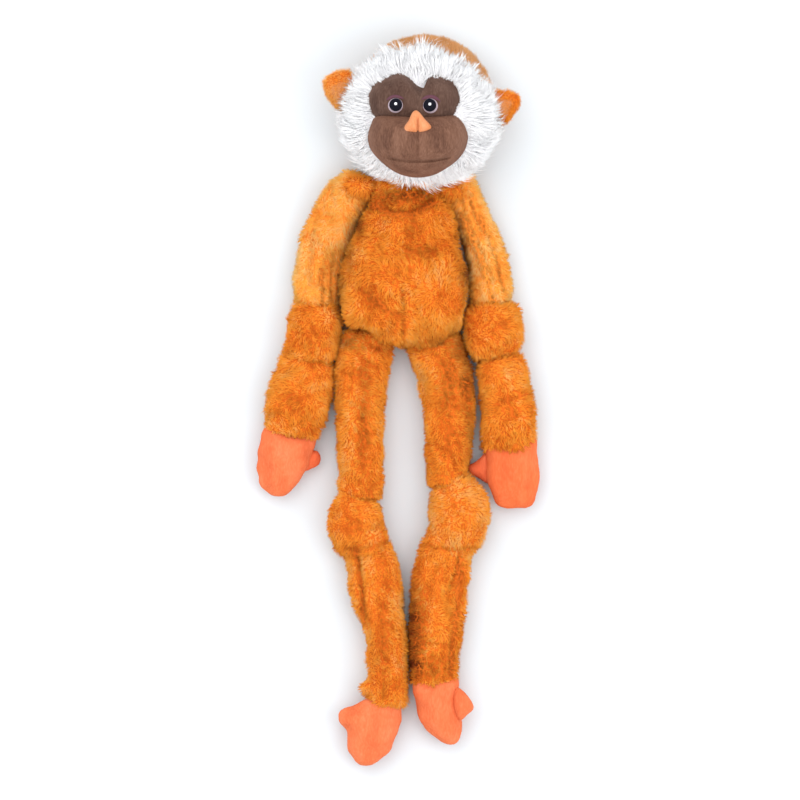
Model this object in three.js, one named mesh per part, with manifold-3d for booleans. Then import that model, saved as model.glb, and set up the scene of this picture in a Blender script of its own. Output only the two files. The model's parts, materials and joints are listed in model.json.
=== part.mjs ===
// A long-limbed plush monkey lying on its back: hollow fur covers over loose fillings,
// with gathered seams at the neck, shoulders, elbows, wrists, hips, knees and ankles.
// Millimetres. +Z is up from the surface it lies on, +Y points to the crown of the head,
// and the toy's own right side is at -X. The origin is the middle of the resting footprint.
import * as THREE from "three";
import Module from "manifold-3d";

const wasm = await Module();
wasm.setup();

// ---- Driving dimensions ----
const WALL = 3; // thickness of a fur cover, backing and flattened pile together
const GAP = 0.3; // clearance between pieces that lie against each other
const SLACK = 1.3; // room between a cover and its loose filling
const AROUND = 14; // facets round a cover
const FILLING_AROUND = 10; // facets round a filling
const HOLE = 2; // radius of the opening left in the middle of a gathered end
const BEYOND = 400; // further than the object reaches on any side

// Seam points, as [x, y], and the height of each limb's centre line above the surface.
const NECK = [10, 167];
const NECK_HEIGHT = 25;
const NECK_FLATNESS = 0.6;
const NECK_RADIUS = 12.5;
const ARM_HEIGHT = 15;
const LEG_HEIGHT = 15.5;
const RIGHT_ARM_SEAMS = {
  shoulder: [-42, 159],
  overElbow: [-61, 70],
  underElbow: [-67.5, 31],
  wrist: [-79.5, -24],
  fingertip: [-89, -71],
};
const LEFT_ARM_SEAMS = {
  shoulder: [49.5, 157],
  overElbow: [68.5, 73],
  underElbow: [75, 32],
  wrist: [85, -36],
  fingertip: [86, -79],
};
const RIGHT_LEG_SEAMS = {
  hip: [-23.5, 39],
  overKnee: [-29, -70],
  underKnee: [-25, -112],
  ankle: [-9, -224],
  toe: [-20, -273],
};
const LEFT_LEG_SEAMS = {
  hip: [29, 37],
  overKnee: [40, -63],
  underKnee: [38, -109],
  ankle: [27, -211],
  toe: [34, -256],
};

const UPPER_ARM_RADIUS = 15;
const FOREARM_RADIUS = 19;
const RIGHT_ELBOW_RADIUS = 18.5;
const LEFT_ELBOW_RADIUS = 20.5;
const THIGH_RADIUS = 15.8;
const KNEE_RADIUS = 22;
const RIGHT_SHIN_RADIUS = 14;
const LEFT_SHIN_RADIUS = 16.5;
const HAND_RADIUS = 18.5;
const HAND_FLATNESS = 0.62; // thickness of a mitten hand as a share of its width
const FOOT_RADIUS = 18.5;
const FOOT_FLATNESS = 0.72;
const BALL_FLATNESS = 0.95; // height of an elbow or knee ball as a share of its width
const KNOT = 5; // radius of the gathered knot where a ball, hand or foot is tied on
const GATHERED_RADIUS = 8; // radius of a limb section where its end is drawn together
const GATHERED_FULLNESS = 0.86; // share of its full radius that a section has 5 mm from that end
const GUSSET_START = 22; // from the torso's centre line to the start of a shoulder gusset
const GUSSET_RADIUS = 6.5;
const HIP_GATHER_RADIUS = 5.5;
const SHOULDER_CLEARANCE = 7.5; // from a seam point to the cover that starts after it
const HIP_CLEARANCE = 6.2;
const SEAM_CLEARANCE = 5.6;

// Digits sewn to the side of a hand or foot: the centre, across and along the mitten, and half sizes.
const RIGHT_THUMB = { at: [-17, 20], halves: [8, 6.5, 6] };
const LEFT_THUMB = { at: [18.5, 15], halves: [8, 9, 6] };
const RIGHT_BIG_TOE = { at: [17, 12], halves: [13, 7, 7] };
const LEFT_BIG_TOE = { at: [-14, 16], halves: [9, 9, 8] };
const DIGIT_FLOOR = 0.4; // height of a digit's underside

const TORSO_CENTRE_X = 3.5;
const TORSO_HEIGHT = 24; // centre of the torso above the surface
const TORSO_FLATNESS = 0.66;

const HEAD_CENTRE = [15.5, 216];
const HEAD_HEIGHT = 40;
const HEAD_FILLING = [44, 46, 38]; // half sizes of the filling along X, Y and Z
const CROWN_RIM = 59; // height of the head cover's rim
const RUFF = [57, 56, 46]; // half sizes of the ruff's outer surface
const RUFF_BACK = 45; // height where the ruff starts
const RUFF_FRONT = 84; // height where the ruff ends
const FACE_BACK = 61; // height where the face panels start
const MUZZLE_CENTRE = [15, 191.5, 82];
const MUZZLE = [37.3, 22.5, 26];
const MOUTH_Y = 179.5;
const BROW_CENTRE = [13, 224, 74];
const BROW = [32.5, 19.5, 22];
const NOSE_AT = [14.6, 208.5];
const NOSE_TOP = 105;
const EYE_RADIUS = 5.3;
const EYE_THICKNESS = 1.4;
const RIGHT_EYE_AT = [-1.7, 221.5];
const LEFT_EYE_AT = [23.9, 221.5];
const EYE_FRONT = 0.8; // radius of an eye's front as a share of its back
const EAR_HEIGHT = 33;
const EAR_CUP = [11, 16, 5];
const EAR_CUP_INSIDE = [10.5, 15.5, 4.8];
const EAR_HOLLOW = [8, 12, 5.5];
const EAR_LINING = [7.2, 11, 4];
const RIGHT_EAR_AT = [-35.5, 233];
const LEFT_EAR_AT = [68.5, 224];

// ---- Materials ----
function fabric(name, colour, roughness) {
  const material = new THREE.MeshStandardMaterial({ color: colour, roughness, metalness: 0 });
  material.name = name;
  return material;
}
const orangeFur = () => fabric("orange_fur", 0xe88c2b, 0.95);
const tanFur = () => fabric("tan_fur", 0xdc965c, 0.95);
const whiteFur = () => fabric("white_fur", 0xf4f2f5, 0.95);
const paleLining = () => fabric("pale_lining", 0xf0c9a8, 0.9);
const brownVelboa = () => fabric("brown_velboa", 0x6e5043, 0.9);
const coralVelboa = () => fabric("coral_velboa", 0xf97a4c, 0.9);
const noseVelboa = () => fabric("nose_velboa", 0xfaa06c, 0.9);
const eyeThread = () => fabric("eye_thread", 0x191a26, 0.45);
const polyesterFilling = () => fabric("polyester_filling", 0xf5f5f2, 1.0);

// ---- Shaping helpers ----
const group = new THREE.Group();
group.name = "stuffed_monkey";

// Adds a named mesh to a parent group.
function addPiece(parent, name, geometry, material) {
  const mesh = new THREE.Mesh(geometry, material);
  mesh.name = name;
  parent.add(mesh);
  return mesh;
}

// A smooth outline through [along, radius] points, as [along, radius] samples.
function smoothOutline(points, samples) {
  const curve = new THREE.SplineCurve(points.map(([along, radius]) => new THREE.Vector2(along, radius)));
  return curve.getPoints(samples).map((point) => [point.x, point.y]);
}

// The same outline moved inwards, square to its own line.
function insetOutline(outline, distance) {
  return outline.map(([along, radius], i) => {
    const [a0, r0] = outline[Math.max(i - 1, 0)];
    const [a1, r1] = outline[Math.min(i + 1, outline.length - 1)];
    const length = Math.hypot(a1 - a0, r1 - r0);
    return [along + (distance * (r1 - r0)) / length, radius - (distance * (a1 - a0)) / length];
  });
}

// A round solid about +Y from [along, radius] points, flattened across and laid at a height.
// Each point's underside stops at its own floor level.
function laidRound(points, floors, height, flatness, around = AROUND) {
  const profile = points.map(([along, radius]) => new THREE.Vector2(Math.max(radius, 0), along));
  const geometry = new THREE.LatheGeometry(profile, around);
  geometry.scale(1, 1, flatness);
  geometry.translate(0, 0, height);
  const position = geometry.getAttribute("position");
  for (let i = 0; i < position.count; i++) {
    position.setZ(i, Math.max(position.getZ(i), floors[i % points.length]));
  }
  return geometry;
}

// A cover open at both ends: its outer outline, then its inner outline walked back.
function coverGeometry(outer, height, flatness) {
  const first = outer[0][0];
  const last = outer[outer.length - 1][0];
  const inner = insetOutline(outer, WALL).filter(([along]) => along > first + WALL && along < last - WALL);
  const loop = [
    [first, HOLE],
    ...outer,
    [last, HOLE],
    [last - WALL, HOLE],
    ...inner.reverse(),
    [first + WALL, HOLE],
    [first, HOLE],
  ];
  const floors = loop.map((point, i) => (i <= outer.length + 1 || i === loop.length - 1 ? 0 : WALL));
  return laidRound(loop, floors, height, flatness);
}

// The loose filling inside such a cover.
function fillingGeometry(outer, height, flatness, around = FILLING_AROUND) {
  const deep = WALL + SLACK;
  const first = outer[0][0];
  const last = outer[outer.length - 1][0];
  const inner = insetOutline(outer, deep).filter(([along]) => along > first + deep && along < last - deep);
  const loop = [[first + deep, 0], [first + deep, HOLE], ...inner, [last - deep, HOLE], [last - deep, 0]];
  const floors = loop.map(() => deep);
  return laidRound(loop, floors, height, flatness, around);
}

// A group standing at a seam point, with its local +Y running towards the next seam.
function limbGroup(from, to) {
  const limb = new THREE.Group();
  limb.position.set(from[0], from[1], 0);
  limb.rotation.z = Math.atan2(to[1] - from[1], to[0] - from[0]) - Math.PI / 2;
  group.add(limb);
  return limb;
}

function span(from, to) {
  return Math.hypot(to[0] - from[0], to[1] - from[1]);
}

// ---- Boolean helpers ----
function toSolid(geometry) {
  const bare = new THREE.BufferGeometry();
  bare.setAttribute("position", geometry.getAttribute("position"));
  if (geometry.index) bare.setIndex(geometry.index);
  const mesh = new wasm.Mesh({
    numProp: 3,
    vertProperties: new Float32Array(bare.getAttribute("position").array),
    triVerts: bare.index
      ? new Uint32Array(bare.index.array)
      : new Uint32Array(bare.getAttribute("position").count).map((value, i) => i),
  });
  mesh.merge();
  return new wasm.Manifold(mesh);
}

function toGeometry(solid) {
  const mesh = solid.getMesh();
  const geometry = new THREE.BufferGeometry();
  geometry.setAttribute("position", new THREE.BufferAttribute(new Float32Array(mesh.vertProperties), 3));
  geometry.setIndex(new THREE.BufferAttribute(new Uint32Array(mesh.triVerts), 1));
  geometry.computeVertexNormals();
  return geometry;
}

// An egg of the given half sizes, grown evenly by an amount.
function egg(centre, halves, grow, across = 22, down = 12) {
  const geometry = new THREE.SphereGeometry(1, across, down);
  geometry.rotateX(Math.PI / 2);
  geometry.scale(halves[0] + grow, halves[1] + grow, halves[2] + grow);
  geometry.translate(centre[0], centre[1], centre[2]);
  return toSolid(geometry);
}

// A slab that reaches well past the object on every side, between two planes.
function slab(axis, low, high) {
  const size = new THREE.Vector3(3 * BEYOND, 3 * BEYOND, 3 * BEYOND);
  size[axis] = high - low;
  const geometry = new THREE.BoxGeometry(size.x, size.y, size.z);
  const middle = new THREE.Vector3();
  middle[axis] = (low + high) / 2;
  geometry.translate(middle.x, middle.y, middle.z);
  return toSolid(geometry);
}

// ---- Torso and neck ----
const TORSO_OUTLINE = [
  [43.5, 12], [46, 22], [52, 33], [62, 40], [78, 43.5], [95, 42], [110, 38.5], [122, 34],
  [136, 29], [150, 23], [159, 17], [162, 12],
];

function buildTorso() {
  const torso = new THREE.Group();
  torso.position.set(TORSO_CENTRE_X, 0, 0);
  group.add(torso);
  addPiece(torso, "torso_cover", coverGeometry(TORSO_OUTLINE, TORSO_HEIGHT, TORSO_FLATNESS), orangeFur());
  const filling = fillingGeometry(TORSO_OUTLINE, TORSO_HEIGHT, TORSO_FLATNESS, AROUND);
  addPiece(torso, "torso_filling", filling, polyesterFilling());
}

// The gusset that the neck turns on: a short fur barrel about the neck's centre line.
function buildNeckYoke() {
  const low = TORSO_OUTLINE[TORSO_OUTLINE.length - 1][0] + GAP;
  const shape = [
    [low, 0], [low, NECK_RADIUS - 2], [low + 1, NECK_RADIUS],
    [NECK[1] - 2, NECK_RADIUS - 1], [NECK[1] - 0.8, 0],
  ];
  const neck = new THREE.Group();
  neck.position.set(NECK[0], 0, 0);
  group.add(neck);
  addPiece(neck, "neck_yoke", laidRound(shape, shape.map(() => 0), NECK_HEIGHT, NECK_FLATNESS), orangeFur());
}

// ---- Head ----
function headEgg(grow) {
  return egg([HEAD_CENTRE[0], HEAD_CENTRE[1], HEAD_HEIGHT], HEAD_FILLING, grow);
}

function ruffSolid() {
  const centre = [HEAD_CENTRE[0], HEAD_CENTRE[1], HEAD_HEIGHT];
  return egg(centre, RUFF, 0)
    .intersect(slab("z", RUFF_BACK, RUFF_FRONT))
    .intersect(slab("y", NECK[1] - 5, BEYOND))
    .subtract(headEgg(WALL + 2 * GAP))
    .subtract(browDome(GAP))
    .subtract(muzzleDome(GAP));
}

function muzzleDome(grow) {
  return egg(MUZZLE_CENTRE, MUZZLE, grow);
}

function browDome(grow) {
  return egg(BROW_CENTRE, BROW, grow);
}

// Height of the brow panel's surface and its outward direction at a point.
function browSurface(x, y) {
  const u = (x - BROW_CENTRE[0]) / BROW[0];
  const v = (y - BROW_CENTRE[1]) / BROW[1];
  const w = Math.sqrt(1 - u * u - v * v);
  const normal = new THREE.Vector3(u / BROW[0], v / BROW[1], w / BROW[2]).normalize();
  return { height: BROW_CENTRE[2] + BROW[2] * w, normal };
}

function buildEye(name, at) {
  const { height, normal } = browSurface(at[0], at[1]);
  const geometry = new THREE.CylinderGeometry(EYE_RADIUS * EYE_FRONT, EYE_RADIUS, EYE_THICKNESS, 20);
  const eye = addPiece(group, name, geometry, eyeThread());
  eye.quaternion.setFromUnitVectors(new THREE.Vector3(0, 1, 0), normal);
  eye.position.set(at[0], at[1], height).addScaledVector(normal, GAP + EYE_THICKNESS / 2);
}

function noseSolid() {
  const outline = new THREE.Shape();
  outline.moveTo(0, 9);
  outline.quadraticCurveTo(3, 8.5, 4.5, 5);
  outline.quadraticCurveTo(8, 0, 10.2, -3.5);
  outline.quadraticCurveTo(10, -6, 6, -6.6);
  outline.quadraticCurveTo(3, -7.5, 0, -8.3);
  outline.quadraticCurveTo(-3, -7.5, -6, -6.6);
  outline.quadraticCurveTo(-10, -6, -10.2, -3.5);
  outline.quadraticCurveTo(-8, 0, -4.5, 5);
  outline.quadraticCurveTo(-3, 8.5, 0, 9);
  const depth = 26;
  const geometry = new THREE.ExtrudeGeometry(outline, { depth, bevelEnabled: false, curveSegments: 3 });
  geometry.translate(NOSE_AT[0], NOSE_AT[1], NOSE_TOP - depth);
  const wedge = egg([NOSE_AT[0], NOSE_AT[1] - 4, NOSE_TOP - 14], [12, 15, 18], 0, 14, 8);
  return toSolid(geometry).intersect(wedge);
}

function buildHead() {
  const fillingFloor = slab("z", WALL + GAP, BEYOND);
  const cover = headEgg(WALL + GAP)
    .subtract(headEgg(GAP))
    .intersect(slab("z", 0, CROWN_RIM));
  const bottomLining = headEgg(WALL + GAP).intersect(slab("z", 0, WALL));
  addPiece(group, "head_cover", toGeometry(cover.add(bottomLining)), tanFur());
  addPiece(group, "head_filling", toGeometry(headEgg(0).intersect(fillingFloor)), polyesterFilling());
  addPiece(group, "mane", toGeometry(ruffSolid()), whiteFur());

  const face = slab("z", FACE_BACK, BEYOND).subtract(headEgg(GAP));
  const muzzle = muzzleDome(0).intersect(face);
  const brow = browDome(0).intersect(face).subtract(muzzleDome(GAP));
  const nose = noseSolid().subtract(browDome(GAP)).subtract(muzzleDome(GAP));
  const aboveMouth = slab("y", MOUTH_Y + GAP / 2, BEYOND);
  const belowMouth = slab("y", 0, MOUTH_Y - GAP / 2);
  addPiece(group, "muzzle_panel", toGeometry(muzzle.intersect(aboveMouth)), brownVelboa());
  addPiece(group, "chin_panel", toGeometry(muzzle.intersect(belowMouth)), brownVelboa());
  addPiece(group, "brow_panel", toGeometry(brow), brownVelboa());
  addPiece(group, "nose", toGeometry(nose), noseVelboa());
  buildEye("right_eye", RIGHT_EYE_AT);
  buildEye("left_eye", LEFT_EYE_AT);
}

// An ear: a shallow cup standing out from the side of the head, with its lining in the hollow.
function buildEar(side, at, outward) {
  const ear = new THREE.Group();
  ear.position.set(at[0], at[1], EAR_HEIGHT);
  ear.rotation.z = outward;
  group.add(ear);
  const cup = egg([9, 0, 0], EAR_CUP, 0, 16, 10);
  const hollow = egg([10, 0, 6], EAR_HOLLOW, 0, 14, 8);
  const inside = egg([9, 0, 0], EAR_CUP_INSIDE, 0, 16, 10);
  const lining = egg([10, 0, 4.8], EAR_LINING, 0, 14, 8).intersect(inside);
  addPiece(ear, side + "_ear", toGeometry(cup.subtract(hollow)), orangeFur());
  addPiece(ear, side + "_ear_lining", toGeometry(lining), paleLining());
}

// ---- Limbs ----
// A limb section, narrow where it is gathered at both seams.
function sectionOutline(length, nearRadius, farRadius, nearEnd, farEnd) {
  return smoothOutline(
    [
      [nearEnd, GATHERED_RADIUS], [nearEnd + 5, nearRadius * GATHERED_FULLNESS], [nearEnd + 14, nearRadius],
      [length * 0.5, (nearRadius + farRadius) / 2],
      [length - farEnd - 14, farRadius], [length - farEnd - 5, farRadius * GATHERED_FULLNESS],
      [length - farEnd, GATHERED_RADIUS],
    ],
    8,
  );
}

function buildSection(name, from, to, nearRadius, farRadius, height, ends) {
  const limb = limbGroup(from, to);
  const outline = sectionOutline(span(from, to), nearRadius, farRadius, ends[0], ends[1]);
  addPiece(limb, name + "_cover", coverGeometry(outline, height, 1), orangeFur());
  addPiece(limb, name + "_filling", fillingGeometry(outline, height, 1), polyesterFilling());
}

// An elbow or knee ball with a gathered knot at each pole, on which the next sections swing.
function buildBall(name, from, to, radius, height) {
  const limb = limbGroup(from, to);
  const length = span(from, to);
  const half = [...knotOutline(), [4, 6]];
  const belly = [[8.5, radius * 0.66], [13, radius * 0.9]];
  const mirrored = (points) => points.map(([along, r]) => [length - along, r]).reverse();
  const outer = [...half, ...belly, [length / 2, radius], ...mirrored(belly), ...mirrored(half)];
  const skin = [...belly, [length / 2, radius], ...mirrored(belly)];
  const inner = insetOutline(skin, WALL);
  const neck = inner[0][0] - 2;
  const loop = [...outer, [length - neck, HOLE], ...inner.slice().reverse(), [neck, HOLE], outer[0]];
  const floors = loop.map((point, i) => (i < outer.length || i === loop.length - 1 ? 0 : WALL));
  addPiece(limb, name + "_cover", laidRound(loop, floors, height, BALL_FLATNESS), orangeFur());
  const core = insetOutline(skin, WALL + SLACK);
  const filled = [[core[0][0], 0], ...core, [length - core[0][0], 0]];
  const fillingFloors = filled.map(() => WALL + SLACK);
  const filling = laidRound(filled, fillingFloors, height, BALL_FLATNESS, FILLING_AROUND);
  addPiece(limb, name + "_filling", filling, polyesterFilling());
}

// A hand or a foot: a short mitten closed at its far end, open where it is sewn on.
function mittenOutline(length, radius, grow) {
  const outline = smoothOutline(
    [
      [4, 6], [9, radius * 0.72], [length * 0.42, radius], [length * 0.72, radius * 0.9],
      [length * 0.93, radius * 0.55], [length, 2],
    ],
    8,
  );
  return insetOutline(outline, -grow);
}

// The gathered knot at the near end of a ball or a mitten, up to the seam point and a little past it.
function knotOutline() {
  const tip = Math.sqrt(KNOT * KNOT - HOLE * HOLE);
  return [[-tip, HOLE], [-KNOT * 0.6, KNOT * 0.8], [0, KNOT]];
}

function mittenCover(length, radius, height, flatness) {
  const skin = mittenOutline(length, radius, 0);
  const neck = skin[0][0] + WALL;
  const inner = insetOutline(skin, WALL).filter(([along]) => along > neck && along < length - WALL);
  const outer = [...knotOutline(), ...skin, [length, 0]];
  const loop = [...outer, [length - WALL, 0], ...inner.reverse(), [neck, HOLE], outer[0]];
  const floors = loop.map((point, i) => (i < outer.length || i === loop.length - 1 ? 0 : WALL));
  return laidRound(loop, floors, height, flatness);
}

function mittenFilling(length, radius, height, flatness) {
  const deep = WALL + SLACK;
  const outer = mittenOutline(length, radius, 0);
  const start = outer[0][0] + deep;
  const inner = insetOutline(outer, deep).filter(([along]) => along > start && along < length - deep);
  const loop = [[start, 0], ...inner, [length - deep - 0.5, 0]];
  return laidRound(loop, loop.map(() => deep), height, flatness, FILLING_AROUND);
}

// A thumb or a big toe: an egg sewn to the side of the mitten and cut back from it.
function digit(mitten, at, halves, height) {
  const outline = mittenOutline(mitten.length, mitten.radius, GAP);
  const loop = [[outline[0][0], 0], ...outline, [mitten.length + GAP, 0]];
  const neighbour = toSolid(laidRound(loop, loop.map(() => 0), height, mitten.flatness));
  const lump = egg([at[0], at[1], height], halves, 0, 12, 8).intersect(slab("z", DIGIT_FLOOR, BEYOND));
  const pieces = lump.subtract(neighbour).decompose();
  pieces.sort((a, b) => b.volume() - a.volume());
  return toGeometry(pieces[0]);
}

function buildMitten(name, digitName, from, to, radius, flatness, height, lump) {
  const limb = limbGroup(from, to);
  const length = span(from, to);
  addPiece(limb, name, mittenCover(length, radius, height, flatness), coralVelboa());
  addPiece(limb, name + "_filling", mittenFilling(length, radius, height, flatness), polyesterFilling());
  const mitten = { length, radius, flatness };
  addPiece(limb, digitName, digit(mitten, lump.at, lump.halves, height), coralVelboa());
}

// A capsule along X: the gathered gusset that carries an arm beside the torso.
function buildShoulderGusset(name, inner, outer, height) {
  const reach = Math.abs(outer[0] - inner);
  const shape = [[0, 0], [0, GUSSET_RADIUS * 0.8], [1.5, GUSSET_RADIUS]];
  for (let step = 0; step <= 5; step++) {
    const turn = (step / 5) * (Math.PI / 2);
    shape.push([reach + GUSSET_RADIUS * Math.sin(turn), GUSSET_RADIUS * Math.cos(turn)]);
  }
  const gusset = new THREE.Group();
  gusset.position.set(inner, outer[1], 0);
  gusset.rotation.z = outer[0] < inner ? Math.PI / 2 : -Math.PI / 2;
  group.add(gusset);
  addPiece(gusset, name, laidRound(shape, shape.map(() => 0), height, 1), orangeFur());
}

function buildHipGather(name, at) {
  const geometry = new THREE.SphereGeometry(HIP_GATHER_RADIUS, 12, 8);
  addPiece(group, name, geometry, orangeFur()).position.set(at[0], at[1], LEG_HEIGHT);
}

function buildArm(side, seams, elbowRadius, thumb) {
  const { shoulder, overElbow, underElbow, wrist, fingertip } = seams;
  const torsoEdge = TORSO_CENTRE_X + Math.sign(shoulder[0]) * GUSSET_START;
  buildShoulderGusset(side + "_shoulder_gusset", torsoEdge, shoulder, ARM_HEIGHT);
  const arm = UPPER_ARM_RADIUS;
  const shoulderEnds = [SHOULDER_CLEARANCE, SEAM_CLEARANCE];
  const ends = [SEAM_CLEARANCE, SEAM_CLEARANCE];
  buildSection(side + "_upper_arm", shoulder, overElbow, arm, arm + 1, ARM_HEIGHT, shoulderEnds);
  buildBall(side + "_elbow", overElbow, underElbow, elbowRadius, ARM_HEIGHT);
  const forearm = FOREARM_RADIUS;
  buildSection(side + "_forearm", underElbow, wrist, forearm - 2, forearm, ARM_HEIGHT, ends);
  buildMitten(side + "_hand", side + "_thumb", wrist, fingertip, HAND_RADIUS, HAND_FLATNESS, ARM_HEIGHT, thumb);
}

function buildLeg(side, seams, shinRadii, toe) {
  const { hip, overKnee, underKnee, ankle, toe: toeTip } = seams;
  const hipEnds = [HIP_CLEARANCE, SEAM_CLEARANCE];
  const ends = [SEAM_CLEARANCE, SEAM_CLEARANCE];
  buildHipGather(side + "_hip_gather", hip);
  buildSection(side + "_thigh", hip, overKnee, THIGH_RADIUS, THIGH_RADIUS + 0.6, LEG_HEIGHT, hipEnds);
  buildBall(side + "_knee", overKnee, underKnee, KNEE_RADIUS, LEG_HEIGHT);
  buildSection(side + "_shin", underKnee, ankle, shinRadii[0], shinRadii[1], LEG_HEIGHT, ends);
  buildMitten(side + "_foot", side + "_big_toe", ankle, toeTip, FOOT_RADIUS, FOOT_FLATNESS, LEG_HEIGHT, toe);
}

buildTorso();
buildNeckYoke();
buildHead();
buildEar("right", RIGHT_EAR_AT, Math.PI);
buildEar("left", LEFT_EAR_AT, 0);
buildArm("right", RIGHT_ARM_SEAMS, RIGHT_ELBOW_RADIUS, RIGHT_THUMB);
buildArm("left", LEFT_ARM_SEAMS, LEFT_ELBOW_RADIUS, LEFT_THUMB);
buildLeg("right", RIGHT_LEG_SEAMS, [RIGHT_SHIN_RADIUS + 1, RIGHT_SHIN_RADIUS], RIGHT_BIG_TOE);
buildLeg("left", LEFT_LEG_SEAMS, [LEFT_SHIN_RADIUS + 2, LEFT_SHIN_RADIUS - 1], LEFT_BIG_TOE);

export default group;
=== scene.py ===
import json
import math

import bpy
import numpy as np
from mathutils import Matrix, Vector
from mathutils.bvhtree import BVHTree
from mathutils.kdtree import KDTree

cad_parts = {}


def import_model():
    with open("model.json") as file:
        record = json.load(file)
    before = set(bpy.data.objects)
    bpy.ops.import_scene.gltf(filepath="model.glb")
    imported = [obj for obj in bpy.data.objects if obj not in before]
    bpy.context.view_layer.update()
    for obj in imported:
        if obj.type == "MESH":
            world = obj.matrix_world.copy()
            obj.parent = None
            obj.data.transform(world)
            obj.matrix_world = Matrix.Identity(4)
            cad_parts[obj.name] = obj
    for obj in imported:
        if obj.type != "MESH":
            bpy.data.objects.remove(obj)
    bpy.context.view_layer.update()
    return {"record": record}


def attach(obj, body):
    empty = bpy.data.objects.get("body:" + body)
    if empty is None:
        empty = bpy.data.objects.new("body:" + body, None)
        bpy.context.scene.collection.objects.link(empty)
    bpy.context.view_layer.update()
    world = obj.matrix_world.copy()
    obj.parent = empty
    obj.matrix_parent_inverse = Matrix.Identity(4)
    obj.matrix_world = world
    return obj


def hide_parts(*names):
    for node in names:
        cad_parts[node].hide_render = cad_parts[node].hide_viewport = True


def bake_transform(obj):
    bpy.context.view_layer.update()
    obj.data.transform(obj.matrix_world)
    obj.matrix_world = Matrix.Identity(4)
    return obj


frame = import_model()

MM = 0.001
JOINTS = {j["name"]: j for j in frame["record"]["behaviour"]["joints"]}


def joint_at(name):
    """A joint's place in millimetres."""
    return np.array(JOINTS[name]["pos_m"]) / MM


# ---- numbers and curves
def smooth_rows(rows, count, closed=False):
    """Points on a smooth curve through the rows."""
    p = np.array(rows, float)
    k = len(p)
    u = np.linspace(0, k if closed else k - 1, count, endpoint=not closed)
    i = np.minimum(u.astype(int), k - 1 if closed else k - 2)
    f = (u - i)[:, None]

    def row(j):
        return p[j % k] if closed else p[np.clip(j, 0, k - 1)]

    a, b, c, d = row(i - 1), row(i), row(i + 1), row(i + 2)
    return 0.5 * (2 * b + (c - a) * f + (2 * a - 5 * b + 4 * c - d) * f**2 + (3 * b - a - 3 * c + d) * f**3)


WAVE_COUNT = 6
WAVE_RATES = (0.7, 1.4)


def waves(p, size, seed):
    """A smooth random field of about unit spread, with features of the given size."""
    r = np.random.default_rng(seed)
    k = r.normal(size=(WAVE_COUNT, 3))
    lengths = np.linalg.norm(k, axis=1, keepdims=True)
    k *= 2 * math.pi / size * r.uniform(*WAVE_RATES, (WAVE_COUNT, 1)) / lengths
    return np.sin(p @ k.T + r.uniform(0, 2 * math.pi, WAVE_COUNT)).sum(1) / math.sqrt(WAVE_COUNT / 2)


def unit(v):
    """Vectors scaled to length 1."""
    return v / np.maximum(np.linalg.norm(v, axis=-1, keepdims=True), 1e-9)


def soft_floor(z, floor, give=1.5):
    """z, kept above the floor with a rounded turn instead of a sharp edge."""
    return floor + give * np.logaddexp(0, (z - floor) / give)


def step(x, low, high):
    """A smooth rise from 0 at low to 1 at high."""
    t = np.clip((x - low) / (high - low), 0, 1)
    return t * t * (3 - 2 * t)


# ---- skins
def grid_faces(rings, around):
    """Quads between closed rings, then a fan at each end to two pole points."""
    i, j = np.meshgrid(np.arange(rings - 1), np.arange(around), indexing="ij")
    a, b = i * around + j, i * around + (j + 1) % around
    quads = np.stack([a, b, b + around, a + around], -1).reshape(-1, 4)
    first, last = rings * around, rings * around + 1
    j = np.arange(around)
    near = np.stack([np.full(around, first), (j + 1) % around, j], -1)
    base = (rings - 1) * around
    far = np.stack([np.full(around, last), base + j, base + (j + 1) % around], -1)
    return np.concatenate([quads[:, [0, 1, 2]], quads[:, [0, 2, 3]], near, far])


CURVE_POINTS = 400
NARROWEST_END = 0.02


def rounded_end(share):
    """How full a sleeve is at a share of the way in from its end: a quarter of a circle."""
    return np.sqrt(np.clip(1 - (1 - np.minimum(share, 1)) ** 2, NARROWEST_END, 1))


def limb_skin(rows, ends, shape=None, rings=46, around=44, floor=1.0):
    """A stuffed sleeve through rows of (x, y, half width, half height), rounded off at both ends."""
    u = 0.5 - 0.5 * np.cos(np.linspace(0, math.pi, rings))
    dense = smooth_rows(rows, CURVE_POINTS)
    t = np.linspace(0, 1, CURVE_POINTS)
    line = np.stack([np.interp(u, t, dense[:, k]) for k in range(4)], -1)
    tangent = unit(np.gradient(dense[:, :2], axis=0))
    tangent = unit(np.stack([np.interp(u, t, tangent[:, k]) for k in range(2)], -1))
    along = np.concatenate([[0], np.cumsum(np.linalg.norm(np.diff(line[:, :2], axis=0), axis=1))])
    total = along[-1]
    round_off = rounded_end(along / ends[0]) * rounded_end((total - along) / ends[1])
    a = np.linspace(0, 2 * math.pi, around, endpoint=False)
    side = np.stack([-tangent[:, 1], tangent[:, 0]], -1)
    hw, hh = line[:, 2] * round_off, line[:, 3] * round_off
    middle = line[:, 3]
    offset = shape(along[:, None] / total, a[None, :]) if shape else 0.0
    c, s = np.cos(a)[None, :], np.sin(a)[None, :]
    across = (hw[:, None] + offset) * c
    up = (hh[:, None] + offset) * s
    x, y = (line[:, None, k] + side[:, None, k] * across for k in range(2))
    v = np.stack([x, y, middle[:, None] + up], -1).reshape(-1, 3)
    poles = np.column_stack([line[[0, -1], :2], middle[[0, -1]]])
    v = np.concatenate([v, poles])
    v[:, 2] = soft_floor(v[:, 2], floor)
    return v, grid_faces(rings, around)[:, ::-1]


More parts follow.
